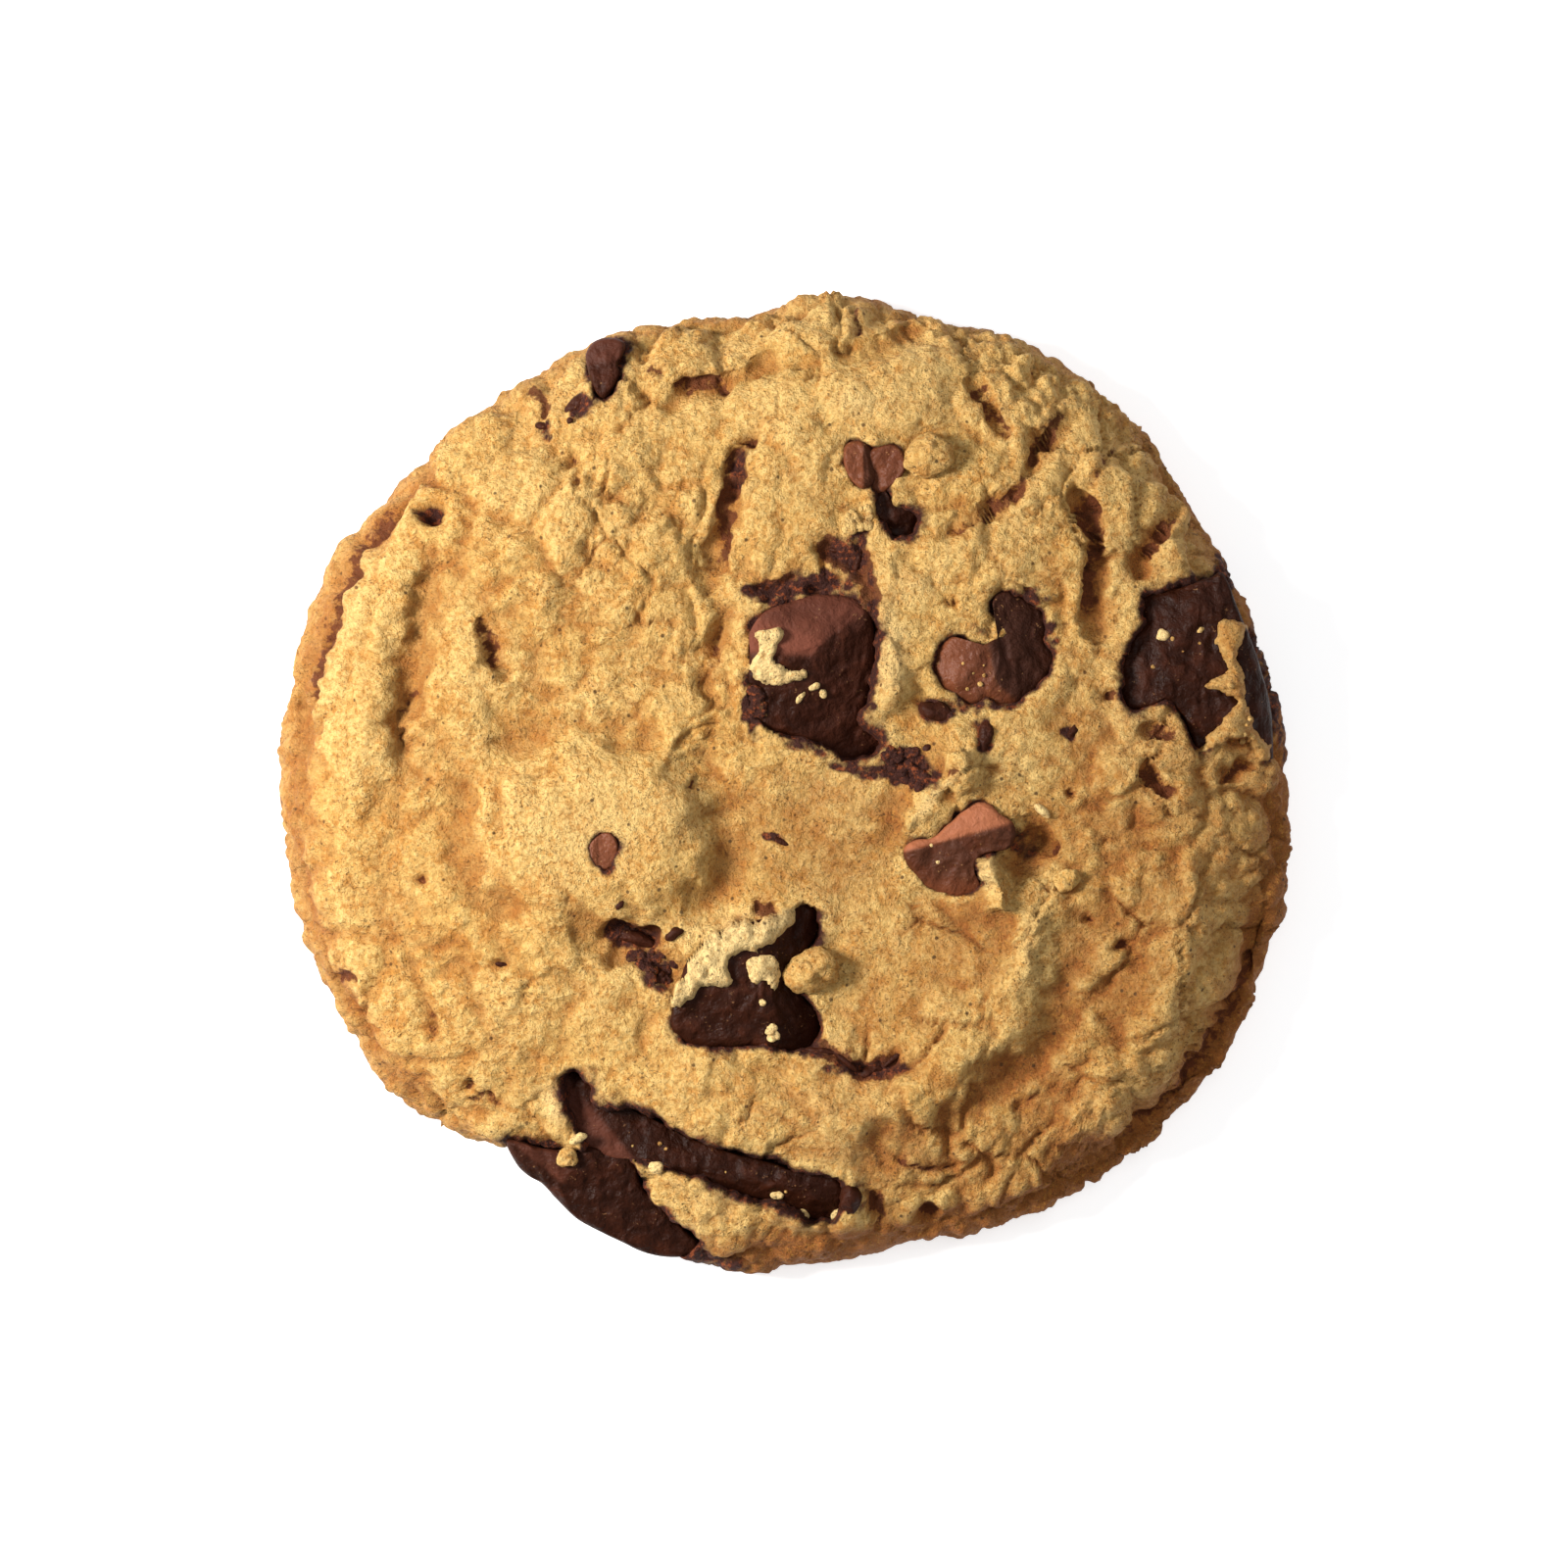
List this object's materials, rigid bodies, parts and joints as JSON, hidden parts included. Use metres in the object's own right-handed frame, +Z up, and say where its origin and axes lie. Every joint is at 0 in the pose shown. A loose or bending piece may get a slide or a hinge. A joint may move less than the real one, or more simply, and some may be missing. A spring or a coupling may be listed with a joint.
{
  "type": "chocolate chip cookie",
  "caption": "Thick round chocolate chip cookie with a flat base, a lumpy browned top, broken dark chocolate chunks and milk chocolate chips set in the dough.",
  "frame": {"origin": "middle of the flat base, at the centre of the cookie's outline seen from above", "axes": "+Z up out of the top crust; +Y towards the edge that is at the top of the cookie seen from above; +X to the right of that"},
  "size_m": [0.0912, 0.0883, 0.0133],
  "materials": {
    "baked_dough": "matte, dry and finely cracked baked crust, golden with browner edges",
    "dark_chocolate": "dark chocolate, dull broken faces with glossy melted spots",
    "milk_chocolate": "satin milk chocolate, slightly bloomed"
  },
  "bodies": {
    "root": {"dough": "baked_dough", "chunk_bar": "dark_chocolate", "chunk_centre": "dark_chocolate", "chunk_edge": "dark_chocolate", "chunk_lower": "dark_chocolate", "chunk_right": "dark_chocolate", "chunk_top": "dark_chocolate", "chunk_upper_left": "dark_chocolate", "chip_left": "milk_chocolate", "chip_low": "milk_chocolate", "chip_middle": "milk_chocolate", "chip_top_left": "milk_chocolate", "chip_top_right": "milk_chocolate"}
  },
  "joints": []
}
